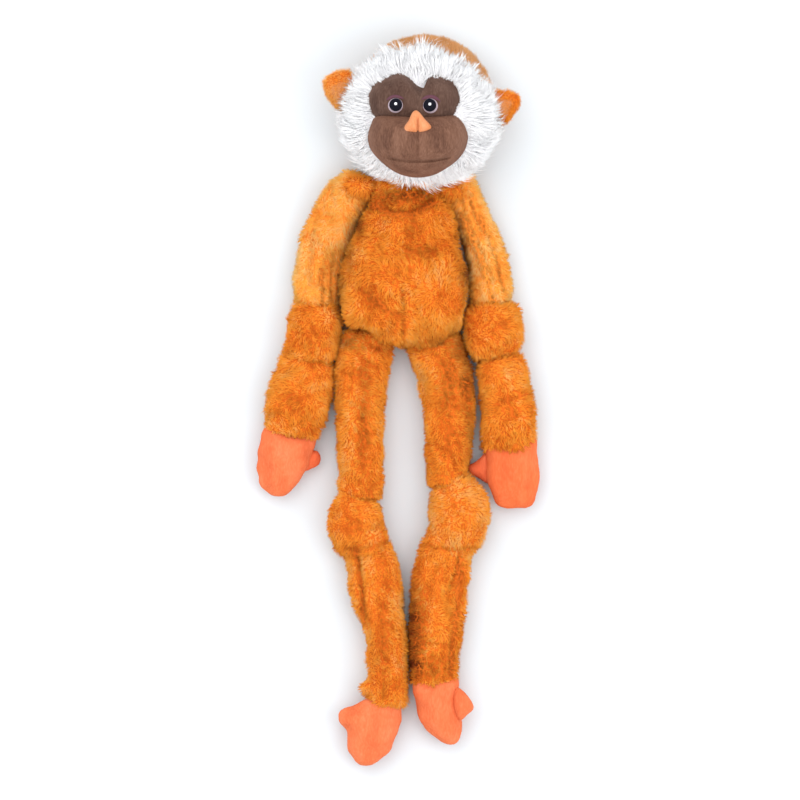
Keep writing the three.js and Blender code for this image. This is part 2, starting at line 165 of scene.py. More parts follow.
def pillow(outline, middle, up, down, power=2.4, rings=12, around=72, floor=0.6, centre=None, edge=0.5):
    """A sewn pillow: two domes that meet along a closed outline of (x, y) points."""
    o = smooth_rows(outline, around, closed=True)
    c = o.mean(0) if centre is None else np.array(centre, float)
    s = np.sin(np.linspace(0.06, math.pi / 2, rings))
    rise = (1 - s**power) ** edge

    def ring(share, height):
        return np.column_stack([c + share * (o - c), np.full(around, middle + height)])

    top = [ring(k, up * h) for k, h in zip(s, rise)]
    low = [ring(k, -down * h) for k, h in zip(s[:-1], rise[:-1])]
    v = np.concatenate(top + low[::-1] + [[[*c, middle + up]], [[*c, middle - down]]])
    v[:, 2] = soft_floor(v[:, 2], floor, 0.8)
    return v, grid_faces(2 * rings - 1, around)


def egg_skin(centre, halves, rings=40, around=64, low=1.0):
    """An ellipsoid about a centre, flattened where it would pass below a height."""
    a = np.linspace(0, math.pi, rings + 2)[1:-1]
    b = np.linspace(0, 2 * math.pi, around, endpoint=False)
    sides = [np.outer(np.sin(a), turned) for turned in (np.cos(b), np.sin(b))]
    ring = np.stack(sides + [np.outer(np.cos(a), np.ones(around))], -1)
    v = np.concatenate([ring.reshape(-1, 3), [[0, 0, 1], [0, 0, -1]]]) * np.array(halves) + np.array(centre)
    v[:, 2] = soft_floor(v[:, 2], low, 2.0)
    return v, grid_faces(rings, around)


def facing_out(v, f):
    """The faces turned to point out of the closed skin."""
    a, b, c = v[f[:, 0]], v[f[:, 1]], v[f[:, 2]]
    volume = (a * np.cross(b, c)).sum()
    return f if volume > 0 else f[:, ::-1]


def vertex_normals(v, f):
    """Unit normals at the vertices, weighted by the area of the faces round them."""
    n = np.zeros_like(v)
    g = np.cross(v[f[:, 1]] - v[f[:, 0]], v[f[:, 2]] - v[f[:, 0]])
    for k in range(3):
        np.add.at(n, f[:, k], g)
    return unit(n)


# ---- pile
def cell_keys(p, size, shift=0.0):
    """One whole number for each point, shared by all the points in the same cell of a cubic grid."""
    cell = np.floor(p / size + shift).astype(np.int64) + 4096
    return (cell[:, 0] << 40) + (cell[:, 1] << 20) + cell[:, 2]


# Trial roots for each one wanted, and the cell that keeps one of them, as a share of the spacing.
TRIALS = 7
ROOT_CELL = 0.92


def scatter(v, f, spacing, seed):
    """Evenly spread roots on a skin: (points, normals)."""
    r = np.random.default_rng(seed)
    a, b, c = v[f[:, 0]], v[f[:, 1]], v[f[:, 2]]
    area = 0.5 * np.linalg.norm(np.cross(b - a, c - a), axis=1)
    count = int(TRIALS * area.sum() / spacing**2)
    i = r.choice(len(f), count, p=area / area.sum())
    u, w = r.random((2, count, 1))
    u, w = np.where(u + w > 1, 1 - u, u), np.where(u + w > 1, 1 - w, w)
    p = a[i] + u * (b[i] - a[i]) + w * (c[i] - a[i])
    n = vertex_normals(v, f)
    n = unit(n[f[i, 0]] * (1 - u - w) + n[f[i, 1]] * u + n[f[i, 2]] * w)
    _, keep = np.unique(cell_keys(p, spacing * ROOT_CELL), return_index=True)
    keep.sort()
    return p[keep], n[keep]


def nearest(points, centres):
    """For each point, which of the centres is nearest."""
    tree = KDTree(len(centres))
    for i, p in enumerate(centres):
        tree.insert(p, i)
    tree.balance()
    return np.array([tree.find(p)[1] for p in points], int)


def combed(p, n, comb, swirl, swirl_size, seed):
    """The way the pile lies at each root: a comb direction turned about by a smooth swirl."""
    c = np.broadcast_to(np.array(comb, float), p.shape) if np.ndim(comb) == 1 else comb
    t = c - (c * n).sum(1, keepdims=True) * n
    t = unit(t + 1e-4 * np.cross(n, [0.3, 0.5, 0.8]))
    a = (swirl * waves(p, swirl_size, seed))[:, None]
    return np.cos(a) * t + np.sin(a) * np.cross(n, t)


# A tuft: shares of the length, clumping and reach asked for, then depth and lowest points in mm.
TUFT_LENGTHS = (0.75, 1.2)
TILT_SPREAD = 0.12
CLUMP_SPREAD = (0.5, 1.2)
CLUMP_SHIFT = 0.37
KNEE_RISE, KNEE_REACH = 0.62, 0.28
ROOT_DEPTH = 0.6
LOWEST_BLADE, LOWEST_TIP = 0.15, 0.4
# A blade: its corners in radians, its flatness, its width at the root and how much is lost by the tip.
BLADE_CORNERS = (0.5, 2.594, 4.689)
BLADE_FLATNESS = 0.7
BLADE_ROOT, BLADE_TAPER = 1.12, 0.75
LAST_BEND = 0.65


def pile(p, n, lie, length, width, tilt, clump, clump_size, seed, bends=0, curl=0.25):
    """Tapered three-sided tufts: (vertices, triangles, shade from root to tip, vertices in a tuft)."""
    r = np.random.default_rng(seed)
    m = len(p)
    length = length * r.uniform(*TUFT_LENGTHS, m)
    way = unit(lie + curl * r.normal(size=(m, 3)))
    way = unit(way - (way * n).sum(1, keepdims=True) * n)
    tilt = tilt + r.normal(0, TILT_SPREAD, m)
    d = np.cos(tilt)[:, None] * n + np.sin(tilt)[:, None] * way
    tip = p + d * length[:, None]
    _, first = np.unique(cell_keys(p, clump_size, CLUMP_SHIFT), return_index=True)
    own = first[nearest(p, p[first])]
    gather = (clump * r.uniform(*CLUMP_SPREAD, m))[:, None]
    tip = tip + gather * (tip[own] - tip)
    knee = p + n * (length * np.cos(tilt) * KNEE_RISE)[:, None] + KNEE_REACH * (tip - p)
    tip[:, 2] = soft_floor(tip[:, 2], LOWEST_TIP, 0.5)
    knee[:, 2] = soft_floor(knee[:, 2], LOWEST_TIP, 0.5)
    side = unit(np.cross(n, tip - p))
    verts, shades = [], []
    for k in range(bends + 1):
        t = k / (bends + LAST_BEND)
        at = (1 - t) ** 2 * (p - ROOT_DEPTH * n) + 2 * t * (1 - t) * knee + t * t * tip
        out = unit(np.cross(side, 2 * (1 - t) * (knee - p) + 2 * t * (tip - knee)))
        fat = (0.5 * width * (BLADE_ROOT - BLADE_TAPER * t))[:, None]
        for turn in BLADE_CORNERS:
            ring = at + fat * (math.cos(turn) * side + BLADE_FLATNESS * math.sin(turn) * out)
            ring[:, 2] = np.maximum(ring[:, 2], LOWEST_BLADE)
            verts.append(ring)
            shades.append(np.full(m, t))
    verts.append(tip)
    shades.append(np.ones(m))
    v = np.stack(verts, 1)
    each = v.shape[1]
    faces = []
    for k in range(bends):
        for j in range(3):
            a, b = 3 * k + j, 3 * k + (j + 1) % 3
            faces += [[a, b, b + 3], [a, b + 3, a + 3]]
    faces += [[3 * bends + j, 3 * bends + (j + 1) % 3, each - 1] for j in range(3)]
    f = (np.arange(m)[:, None, None] * each + np.array(faces)[None]).reshape(-1, 3)
    return v.reshape(-1, 3), f, np.stack(shades, 1).reshape(-1), each


# Where the pile is rubbed up and parted and its tone darkened, partly real rubbing and partly painted shade
# where parts shade each other, as on the inner left shin and under the ruff: (x, y, reach along x, reach
# along y, how much).
RUBBED_AND_SHADED = [
    (10, 151, 34, 7, 0.9), (14, 112, 17, 8, 0.85), (-14, 76, 12, 7, 0.6), (2, 60, 7, 16, 0.4),
    (-26, -30, 6, 36, 0.9), (39, -22, 8, 34, 0.85), (-24, 24, 12, 14, 0.65), (38, 26, 8, 16, 0.7),
    (-11, -170, 5, 60, 0.8), (13, -178, 6, 26, 1.15), (16, -203, 8, 12, 1.1), (28, -196, 14, 10, 0.6),
    (-32, -92, 12, 9, 0.7), (44, -86, 10, 12, 0.5), (-62, 50, 10, 12, 0.6), (74, 54, 12, 12, 0.5),
    (-74, -4, 10, 16, 0.5), (84, -4, 9, 18, 0.6), (-52, 120, 5, 24, 0.3), (8, 40, 40, 5, 0.6),
]

# Painted shade: where the pile is painted darkest, in the shade between parts and under the ruff: (x, y,
# reach along x, reach along y, how much).
PAINTED_SHADE_PATCHES = [
    (13, -168, 7, 34, 0.75), (13, -196, 8, 11, 0.9), (26, -200, 11, 9, 0.35), (-34, 46, 14, 5, 0.55),
    (-22, 40, 14, 4, 0.5), (44, 42, 8, 16, 0.55), (30, 46, 12, 4, 0.5), (49, 18, 5, 26, 0.6),
    (52, -20, 4, 30, 0.5), (8, 155, 26, 4.5, 0.75), (-28, 133, 4, 9, 0.85), (-36, 113, 4, 16, 0.5),
    (-43.5, 84, 4, 30, 0.6), (46, 124, 4, 16, 0.65), (50.5, 98, 4.5, 22, 0.8), (-26, -4, 4.5, 40, 0.42),
    (38, 16, 7, 20, 0.45), (-46, 62, 3, 24, 0.3), (-10, -185, 4, 40, 0.22), (18, 112, 12, 5, 0.25),
]

# Lines where the cloth is creased or sewn and the pile pinched and darkened as painted shade: ((x, y) points,
# half width, how much).
CREASES = [
    ([(-18, 146.5), (-9.7, 142.4), (2.8, 139.9), (15.2, 142.4), (25.5, 148.6)], 2.9, 1.2),
    ([(4, 84), (3.2, 66), (3.3, 44)], 1.6, 0.5),
    ([(-28.5, 85), (-17.2, 77.4), (-12.2, 70), (-1, 65)], 2.6, 0.6),
    ([(-58.5, 100), (-57.2, 72)], 1.9, 0.9),
    ([(-49.7, 106), (-50.5, 74)], 1.8, 0.7),
    ([(47.8, 142), (62.8, 107), (70.5, 77)], 1.8, 1.0),
    ([(55.3, 150), (70.3, 119), (78, 84)], 1.8, 0.8),
    ([(-30.4, -112), (-27.5, -137), (-24.3, -166)], 2.2, 1.0),
    ([(46, -112), (46, -139), (41, -171), (38, -208)], 2.0, 1.0),
    ([(10, -180), (36, -182)], 1.8, 0.6),
    ([(20.6, -107.5), (40, -110.5), (58.4, -108.7)], 1.8, 0.6),
    ([(-38, -109), (-25, -109.5), (-5.3, -103.5)], 1.7, 0.5),
]


# Roots below these heights, in mm, take no creases, painted shade or rubbing.
CREASED_FROM, PAINTED_SHADE_FROM, RUBBED_AND_SHADED_FROM = 12, 6, 8


def along_lines(p):
    """How near each root on the front is to a crease, from 0 to the crease's own amount."""
    near = np.zeros(len(p))
    for points, half, much in CREASES:
        q = np.array(points, float)
        gap = np.full(len(p), 1e9)
        for a, b in zip(q[:-1], q[1:]):
            t = np.clip(((p[:, :2] - a) @ (b - a)) / ((b - a) @ (b - a)), 0, 1)
            gap = np.minimum(gap, np.linalg.norm(p[:, :2] - a - t[:, None] * (b - a), axis=1))
        near = np.maximum(near, much * np.exp(-((gap / half) ** 2)))
    return near * (p[:, 2] > CREASED_FROM)


def in_patches(p, patches, least, lowest):
    """How deep each root lies in the soft-edged patches, counting only roots above a height."""
    m = least
    for x, y, rx, ry, much in patches:
        inside = np.exp(-(((p[:, 0] - x) / rx) ** 2) - ((p[:, 1] - y) / ry) ** 2)
        m = np.maximum(m, much * inside * (p[:, 2] > lowest))
    return m


def painted_shade(p, seed):
    """How much painted shade darkens the pile at each root, from 0 to 1."""
    m = in_patches(p, PAINTED_SHADE_PATCHES, np.zeros(len(p)), PAINTED_SHADE_FROM)
    return np.clip(m * (1 + 0.2 * waves(p, 9, seed)), 0, 1)


def rubbed_and_shaded(p, seed):
    """How far the pile stands up and parts at each root, from 0 where it lies smooth to about 1; the same
    amount darkens the tone, partly as painted shade.
    """
    m = in_patches(p, RUBBED_AND_SHADED, 0.4 * step(waves(p, 30, seed), 0.2, 1.3), RUBBED_AND_SHADED_FROM)
    return np.clip(m + 0.3 * waves(p, 7, seed + 1) * (0.25 + m), 0, 1.15)


# ---- meshes
def mesh_object(name, v, f, materials, which=None, numbers=None, uv=None):
    """A smooth mesh from vertices in millimetres, with numbers stored at its points."""
    me = bpy.data.meshes.new(name)
    me.vertices.add(len(v))
    me.vertices.foreach_set("co", (v * MM).astype(np.float32).ravel())
    me.loops.add(f.size)
    me.loops.foreach_set("vertex_index", f.astype(np.int32).ravel())
    me.polygons.add(len(f))
    me.polygons.foreach_set("loop_start", np.arange(0, f.size, f.shape[1], dtype=np.int32))
    for material in materials:
        me.materials.append(material)
    if which is not None:
        me.polygons.foreach_set("material_index", which.astype(np.int32))
    me.polygons.foreach_set("use_smooth", np.ones(len(f), bool))
    for key, values in (numbers or {}).items():
        me.attributes.new(key, "FLOAT", "POINT").data.foreach_set("value", values.astype(np.float32))
    if uv is not None:
        me.uv_layers.new(name="OFBake").data.foreach_set("uv", uv.astype(np.float32).ravel())
    me.update()
    me.validate()
    o = bpy.data.objects.new(name, me)
    bpy.context.scene.collection.objects.link(o)
    return o


SKIN_STRIP, TUFT_STRIP = 0.18, 0.8


def bake_layout(v, f, tufts, each, shade):
    """The layout that a colour bake uses: the skin along the bottom, then one small cell for each tuft."""
    size = np.ptp(v, axis=0)
    low = v.min(0)
    turned = vertex_normals(v, f)[:, 2] < 0
    skin_u = 0.5 * (v[:, 0] - low[0]) / size[0] * 0.98 + 0.5 * turned
    skin_v = SKIN_STRIP * (v[:, 1] - low[1]) / size[1]
    wide = max(1, math.ceil(math.sqrt(tufts / TUFT_STRIP)))
    tall = max(1, math.ceil(tufts / wide))
    index = np.repeat(np.arange(tufts), each)
    tuft_u = (index % wide + 0.25 + 0.5 * np.tile(np.arange(each) % 3 / 2, tufts)) / wide
    tuft_v = (1 - TUFT_STRIP) + TUFT_STRIP * (index // wide + 0.1 + 0.8 * shade) / tall
    return np.column_stack([np.concatenate([skin_u, tuft_u]), np.concatenate([skin_v, tuft_v])])


# Roots whose normals point further down than this lie under the toy and keep fewer, broader tufts.
UNDERSIDE, UNDERSIDE_KEPT, UNDERSIDE_WIDTH = -0.35, 0.38, 0.8
# What patches, rubbing and creases do to the pile's length, in shares, and its tilt, in radians.
PATCH_SIZE, PATCH_LENGTH, PATCH_TILT = 12, 0.12, 0.1
RUBBED_LENGTH, RUBBED_TILT, CREASE_LENGTH = 0.12, 0.55, 0.6
# What they and chance do to the tone: the darkening by rubbing is partly painted shade, and the darkening and
# deep colour in creases are painted shade.
TUFT_TONE, LOCK_TONE, FINE_TONE, BROAD_TONE, MEAN_TONE = 0.35, 0.45, 0.3, 0.35, 0.45
RUBBED_SHADE_TONE, CREASE_SHADE_TONE, CREASE_PAINTED_SHADE = 2.25, 2.2, 0.5
LOCK_HASH, LOCK_TONES = np.array([73856093, 19349663, 83492791]), 9973


def furry(name, v, f, coat, seed, materials, keep=None, share_of_length=None):
    """A skin and the pile that stands on it, as one piece."""
    f = facing_out(v, f)
    p, n = scatter(v, f, coat["spacing"], seed)
    r = np.random.default_rng(seed + 7)
    under = n[:, 2] < UNDERSIDE
    ok = ~under | (r.random(len(p)) < UNDERSIDE_KEPT)
    if keep is not None:
        ok &= keep(p)
    p, n, under = p[ok], n[ok], under[ok]
    comb = coat["comb"](p) if callable(coat["comb"]) else coat["comb"]
    lie = combed(p, n, comb, coat["swirl"], coat["swirl_size"], seed + 1)
    up = rubbed_and_shaded(p, seed + 2) * coat["rub"]
    pinch = along_lines(p) * coat["rub"]
    length = coat["length"] * (1 + PATCH_LENGTH * waves(p, PATCH_SIZE, seed + 3))
    length = length * (1 - RUBBED_LENGTH * up) * (1 - CREASE_LENGTH * pinch)
    if share_of_length is not None:
        length = length * share_of_length(p)
    tilt = coat["tilt"] - RUBBED_TILT * up + PATCH_TILT * waves(p, PATCH_SIZE, seed + 4)
    width = coat["width"] * (1 + UNDERSIDE_WIDTH * under) * r.uniform(0.75, 1.25, len(p))
    clump = coat["clump"] * np.minimum(0.6 + 0.6 * up, 1.15)
    curl = coat["curl"] * (1 + up[:, None])
    pv, pf, shade, each = pile(
        p, n, lie, length, width, tilt, clump, coat["clump_size"], seed + 5, coat["bends"], curl,
    )
    lock = np.floor(p / coat["clump_size"] + CLUMP_SHIFT).astype(np.int64) @ LOCK_HASH
    tone = TUFT_TONE * r.normal(0, 1, len(p)) + LOCK_TONE * np.sin(lock % LOCK_TONES)
    tone += FINE_TONE * waves(p, 6, seed + 6)
    tone += BROAD_TONE * waves(p, 28, seed + 8) + MEAN_TONE + coat["pale"]
    # Painted shade: the tone is darkened where the pile is rubbed up, in part, and along the creases.
    tone -= RUBBED_SHADE_TONE * up + CREASE_SHADE_TONE * pinch
    # Painted shade: the 'deep' number darkens the pile in the shaded patches and along the creases.
    deep = np.maximum(painted_shade(p, seed + 9), CREASE_PAINTED_SHADE * pinch) * coat["rub"]
    bare = np.zeros(len(v))
    numbers = {
        "shade": np.concatenate([bare, shade]),
        "tone": np.concatenate([waves(v, 20, seed), np.repeat(tone, each)]),
        "deep": np.concatenate([bare, np.repeat(deep, each)]),
    }
    all_f = np.concatenate([f, pf + len(v)])
    which = np.concatenate([np.zeros(len(f)), np.ones(len(pf))])
    layout = bake_layout(v, f, len(p), each, shade)
    return mesh_object(name, np.concatenate([v, pv]), all_f, materials, which, numbers, layout[all_f])


# ---- materials
def new_material(name, roughness, sheen=0.0, sheen_tint=(1, 1, 1), sheen_roughness=0.5, specular=0.3):
    m = bpy.data.materials.new(name)
    m.use_nodes = True
    shader = m.node_tree.nodes["Principled BSDF"]
    settings = {
        "Roughness": roughness, "Sheen Weight": sheen, "Sheen Tint": (*sheen_tint, 1),
        "Sheen Roughness": sheen_roughness, "Specular IOR Level": specular,
    }
    for key, value in settings.items():
        shader.inputs[key].default_value = value
    return m, m.node_tree, shader


def add_node(tree, kind, **inputs):
    """A new shader node. An input is given as a value or as the output of another node."""
    node = tree.nodes.new("ShaderNode" + kind)
    if kind == "Mix":
        node.data_type = "RGBA"
    for name, value in inputs.items():
        socket = node.inputs[name.replace("_", " ")]
        if isinstance(value, bpy.types.NodeSocket):
            tree.links.new(value, socket)
        else:
            socket.default_value = value
    return node


def ramp(tree, source, stops):
    """The colour that a ramp with (position, colour) stops gives for an output."""
    node = add_node(tree, "ValToRGB", Fac=source)
    elements = node.color_ramp.elements
    while len(elements) < len(stops):
        elements.new(0.5)
    for element, (at, colour) in zip(elements, stops):
        element.position = at
        element.color = (*colour, 1)
    return node.outputs["Color"]


def stored(tree, name):
    """A number stored at the points of the mesh."""
    node = add_node(tree, "Attribute")
    node.attribute_name = name
    return node.outputs["Fac"]


def object_place(tree):
    return add_node(tree, "TexCoord").outputs["Object"]


def bumped(tree, shader, source, strength, distance):
    bump = add_node(tree, "Bump", Height=source, Strength=strength, Distance=distance)
    tree.links.new(bump.outputs["Normal"], shader.inputs["Normal"])


DEEPEST_TONE, PALEST_TONE = -1.6, 1.8


def pile_material(name, deep, body, tip, pale, sheen=0.15):
    """Pile that is deep in colour at the root and light at the tip, mottled from tuft to tuft, and darkened
    by painted shade where its 'deep' number is high.
    """
    m, tree, shader = new_material(name, 0.88, sheen, tip, 0.6, 0.15)
    along = ramp(tree, stored(tree, "shade"), [(0.0, deep), (0.4, body), (1.0, tip)])
    tone = stored(tree, "tone")
    spread = add_node(tree, "MapRange", Value=tone, From_Min=DEEPEST_TONE, From_Max=PALEST_TONE)
    mottled = ramp(tree, spread.outputs["Result"], [(0.0, deep), (0.32, body), (0.7, tip), (1.0, pale)])
    mix = add_node(tree, "Mix", Factor=0.58, A=along, B=mottled)
    # Painted shade: the dark colour that the 'deep' number mixes in.
    painted_shade_colour = (deep[0] * 0.28, deep[1] * 0.22, deep[2] * 0.5, 1)
    darkest = add_node(tree, "Mix", Factor=stored(tree, "deep"), A=mix.outputs["Result"], B=painted_shade_colour)
    tree.links.new(darkest.outputs["Result"], shader.inputs["Base Color"])
    return m


NAP = 0.35


def velboa(name, deep, body, light, sheen):
    """Short velour pile: fine nap, faint streaks along the pile and soft light and dark strokes."""
    m, tree, shader = new_material(name, 0.85, sheen, light, 0.45, 0.2)
    streaked = add_node(tree, "Mapping", Vector=object_place(tree), Scale=(1.0, 0.3, 1.0)).outputs["Vector"]
    fine = add_node(tree, "TexNoise", Vector=streaked, Scale=900, Detail=3).outputs["Fac"]
    broad = add_node(tree, "TexNoise", Vector=streaked, Scale=95, Detail=4).outputs["Fac"]
    fibres = ramp(tree, fine, [(0.3, deep), (0.52, body), (0.75, light)])
    strokes = ramp(tree, broad, [(0.3, deep), (0.5, body), (0.72, light)])
    mix = add_node(tree, "Mix", Factor=0.55, A=fibres, B=strokes)
    tree.links.new(mix.outputs["Result"], shader.inputs["Base Color"])
    bumped(tree, shader, fine, NAP, 0.0006)
    return m


def thread(name, body, light, roughness=0.4):
    """Satin-stitched embroidery thread."""
    m, tree, shader = new_material(name, roughness, specular=0.12)
    wave = add_node(tree, "TexWave", Vector=object_place(tree), Scale=420, Distortion=1.5, Detail=2)
    stitches = wave.outputs["Fac"]
    tree.links.new(ramp(tree, stitches, [(0.1, body), (0.9, light)]), shader.inputs["Base Color"])
    bumped(tree, shader, stitches, 0.3, 0.0003)
    return m


ORANGE = pile_material(
    "orange_pile", (0.46, 0.075, 0.004), (0.92, 0.27, 0.020), (1.0, 0.42, 0.052), (1.0, 0.60, 0.19),
)
# Painted sheen: lighter copies of the orange pile and its backing for the upper arms, where the brushed pile
# catches more light.
BRUSHED_SHEEN_PILE = pile_material(
    "orange_brushed_pile_painted_sheen", (0.74, 0.20, 0.020), (1.0, 0.37, 0.045), (1.0, 0.52, 0.10), (1.0, 0.70, 0.28),
)
ORANGE_BACKING = velboa("orange_backing", (0.50, 0.09, 0.005), (0.62, 0.13, 0.008), (0.72, 0.18, 0.014), 0.1)
BRUSHED_SHEEN_BACKING = velboa(
    "orange_brushed_backing_painted_sheen", (0.74, 0.20, 0.02), (0.86, 0.28, 0.035), (0.92, 0.36, 0.06), 0.1,
)
TAN = pile_material(
    "tan_pile", (0.50, 0.20, 0.06), (0.72, 0.33, 0.12), (0.85, 0.45, 0.19), (0.93, 0.58, 0.30),
)
TAN_BACKING = velboa("tan_backing", (0.40, 0.16, 0.05), (0.5, 0.22, 0.08), (0.6, 0.3, 0.12), 0.1)
WHITE = pile_material(
    "white_pile", (0.93, 0.925, 0.96), (0.97, 0.968, 0.985), (0.99, 0.99, 1.0), (1.0, 1.0, 1.0), 0.1,
)
WHITE_BACKING = velboa("white_backing", (0.84, 0.83, 0.88), (0.90, 0.89, 0.93), (0.95, 0.95, 0.97), 0.1)
PALE = pile_material(
    "pale_pile", (0.62, 0.20, 0.05), (0.82, 0.36, 0.13), (0.92, 0.48, 0.20), (0.96, 0.62, 0.36),
)
PALE_BACKING = velboa("pale_backing", (0.52, 0.16, 0.04), (0.62, 0.22, 0.07), (0.72, 0.3, 0.12), 0.1)
BROWN_DEEP = velboa(
    "deep_brown_velour", (0.045, 0.020, 0.014), (0.088, 0.046, 0.033), (0.150, 0.088, 0.066), 0.18,
)
BROWN = velboa("brown_velour", (0.076, 0.031, 0.019), (0.152, 0.070, 0.043), (0.245, 0.124, 0.082), 0.22)
CORAL = velboa("coral_velour", (0.56, 0.10, 0.032), (0.67, 0.150, 0.052), (0.74, 0.215, 0.095), 0.2)
# Painted shade: a darker, redder copy of the same coral velour for the left hand, standing in for the shade
# on it.
CORAL_SHADED = velboa(
    "coral_velour_painted_shade", (0.56, 0.088, 0.024), (0.67, 0.132, 0.038), (0.74, 0.188, 0.070), 0.2,
)
# Painted shade: a darker copy of the coral velour for the thumbs, standing in for the shade on them.
CORAL_THUMB_SHADED = velboa(
    "coral_thumb_velour_painted_shade", (0.54, 0.075, 0.024), (0.65, 0.115, 0.038), (0.71, 0.16, 0.065), 0.15,
)
NOSE = velboa("nose_velour", (0.52, 0.17, 0.06), (0.62, 0.235, 0.10), (0.70, 0.33, 0.17), 0.2)
DARK_THREAD = thread("dark_thread", (0.002, 0.002, 0.004), (0.007, 0.007, 0.015), 0.8)
PALE_THREAD = thread("pale_thread", (0.25, 0.19, 0.23), (0.46, 0.38, 0.42))
WHITE_THREAD = thread("white_thread", (0.8, 0.8, 0.85), (0.98, 0.98, 1.0))
PLUM_THREAD = thread("plum_thread", (0.075, 0.025, 0.040), (0.13, 0.050, 0.070))

ORANGE_FUR = (ORANGE_BACKING, ORANGE)

# Lengths in mm and angles in radians.
BODY_COAT = dict(
    spacing=1.08, width=0.8, length=5.2, tilt=0.95, comb=(0, -1, 0.1),
    swirl=0.9, swirl_size=40, clump=0.8, clump_size=3.1, curl=0.7, bends=0, rub=1, pale=0,
)
LEG_PILE = dict(length=4.4, clump_size=2.6)


def coat(**changes):
    return {**BODY_COAT, **changes}


def settle(o, body=None, blend=None, stands_for=()):
    """Puts a finished piece on its body, or, for a piece across a joint, fixes its placement into its
    vertices, and hides the CAD parts that it stands for.
    """
    if blend is not None:
        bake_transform(o)
    else:
        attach(o, body)
    if stands_for:
        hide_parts(*stands_for)
    return o


def before(joint, towards, distance):
    """The point at a distance from a joint, back along the way to another point."""
    at = joint_at(joint)
    back = unit(np.array([towards[0] - at[0], towards[1] - at[1], 0.0]))
    return at + back * distance


LOWEST_SKIN = 0.5


def lumpy(v, f, height, size, seed):
    """A skin with soft lumps of stuffing under it."""
    v = v + vertex_normals(v, facing_out(v, f)) * (height * waves(v, size, seed))[:, None]
    v[:, 2] = np.maximum(v[:, 2], LOWEST_SKIN)
    return v


# ---- limbs
def long_folds(where, depth, width):
    """Creases that run along a sleeve, each at (angle, from, to) in radians and shares of the length."""
    fade = 0.12

    def shape(u, a):
        out = np.zeros(np.broadcast_shapes(u.shape, a.shape))
        for angle, start, end in where:
            gap = np.abs((a - angle - 0.25 * np.sin(5 * u) + math.pi) % (2 * math.pi) - math.pi)
            window = step(u, start, start + fade) * (1 - step(u, end - fade, end))
            out = out - depth * np.exp(-((gap / width) ** 2)) * window
        return out

    return shape


# Each section of a limb, with the joint at its far end and the section after it.
NEXT = {
    "upper_arm": ("elbow_bend", "elbow"), "elbow": ("elbow_sway", "forearm"),
    "forearm": ("wrist_bend", "hand"), "thigh": ("knee_bend", "knee"),
    "knee": ("knee_sway", "shin"), "shin": ("ankle_bend", "foot"),
}
# The plumpness that the pile presses out of view, and a distance back from the far joint, at which a point is
# worked out but not used.
PLUMPER, TALLER = 0.7, 0.4
BENDING_LENGTH = 26


def both(node):
    return [node + "_cover", node + "_filling"]


def sleeve(side, section, rows, ends, seed, shape=None, fill=0.5, fur=ORANGE_FUR, **changes):
    """One stuffed and furred section of a limb, which meets the next one at their joint."""
    name = side + "_" + section
    joint, child = (side + "_" + other for other in NEXT[section])
    rows = [(x, y, w + PLUMPER, h + TALLER) for x, y, w, h in rows]
    v, f = limb_skin(rows, ends, shape)
    o = furry(name + "_fur", lumpy(v, f, 0.5, 17, seed + 9), f, coat(**changes), seed, fur)
    blend = (name, child, before(joint, rows[len(rows) // 2], BENDING_LENGTH), joint_at(joint))
    return settle(o, blend=blend, stands_for=both(name))


# The upper arms take the lighter pile and a paler tone as painted sheen.
UPPER_ARM = dict(fill=0.35, fur=(BRUSHED_SHEEN_BACKING, BRUSHED_SHEEN_PILE), pale=0.75)

# Rows are (x, y, half width, half height) of the stuffed sleeve without its pile.
sleeve(
    "right", "upper_arm",
    [(-33, 172, 6, 9), (-35, 163, 10.5, 12), (-40, 151, 14, 13.5), (-44.5, 142, 15.2, 13),
     (-48.5, 133, 16.2, 12.5), (-53, 124, 16.2, 12.5), (-55.5, 115, 15.8, 12.5), (-59.5, 97, 15.7, 12.5),
     (-60.5, 85, 15.2, 13), (-60.8, 71.5, 14.5, 13)],
    (5, 1.6), 11, long_folds([(1.45, 0.55, 1.0), (1.0, 0.5, 1.0), (2.2, 0.35, 0.9)], 3.0, 0.13), **UPPER_ARM,
)
sleeve(
    "right", "elbow",
    [(-60.6, 72, 15.6, 14), (-61.4, 61, 18, 16), (-63, 50, 17.9, 16), (-66, 38, 17.4, 15),
     (-67, 30.5, 17, 14)],
    (1.6, 1.6), 12, fill=0.8,
)
sleeve(
    "right", "forearm",
    [(-67.3, 31, 17.3, 13), (-68.7, 24, 19.3, 14), (-70.7, 15, 20.4, 14.5), (-73.5, 5, 21.3, 14.5),
     (-76, -3, 20.8, 14.5), (-77.3, -12, 20, 14), (-78.6, -20, 18.8, 13), (-79.4, -25.5, 18, 12)],
    (1.6, 2), 13,
)
sleeve(
    "left", "upper_arm",
    [(44, 170, 8, 11), (47.5, 160, 10, 12.5), (51, 150, 10.5, 12.5), (55.5, 137, 11, 12.5),
     (61, 124, 12, 12.5), (65, 110, 12.2, 12.5), (68, 96, 13, 12.5), (70, 84, 13, 13),
     (70.8, 72, 12.5, 12.5)],
    (6, 3), 14, long_folds([(1.6, 0.1, 1.0), (1.05, 0.15, 0.95), (2.2, 0.25, 0.8)], 3.2, 0.12), **UPPER_ARM,
)
sleeve(
    "left", "elbow",
    [(71, 73.5, 15.5, 13), (71, 65, 19, 16), (71.5, 53, 20, 17), (73, 42, 18.2, 16), (75, 32.5, 15, 13)],
    (3.5, 3.5), 15, fill=0.85,
)
sleeve(
    "left", "forearm",
    [(75, 33, 14.5, 13), (77, 24, 16.3, 14), (79, 15, 17.2, 14.5), (81.8, 0, 18.3, 14.5),
     (83, -20, 18.3, 14), (83.5, -37, 17.2, 12)],
    (3.5, 2), 16,
)
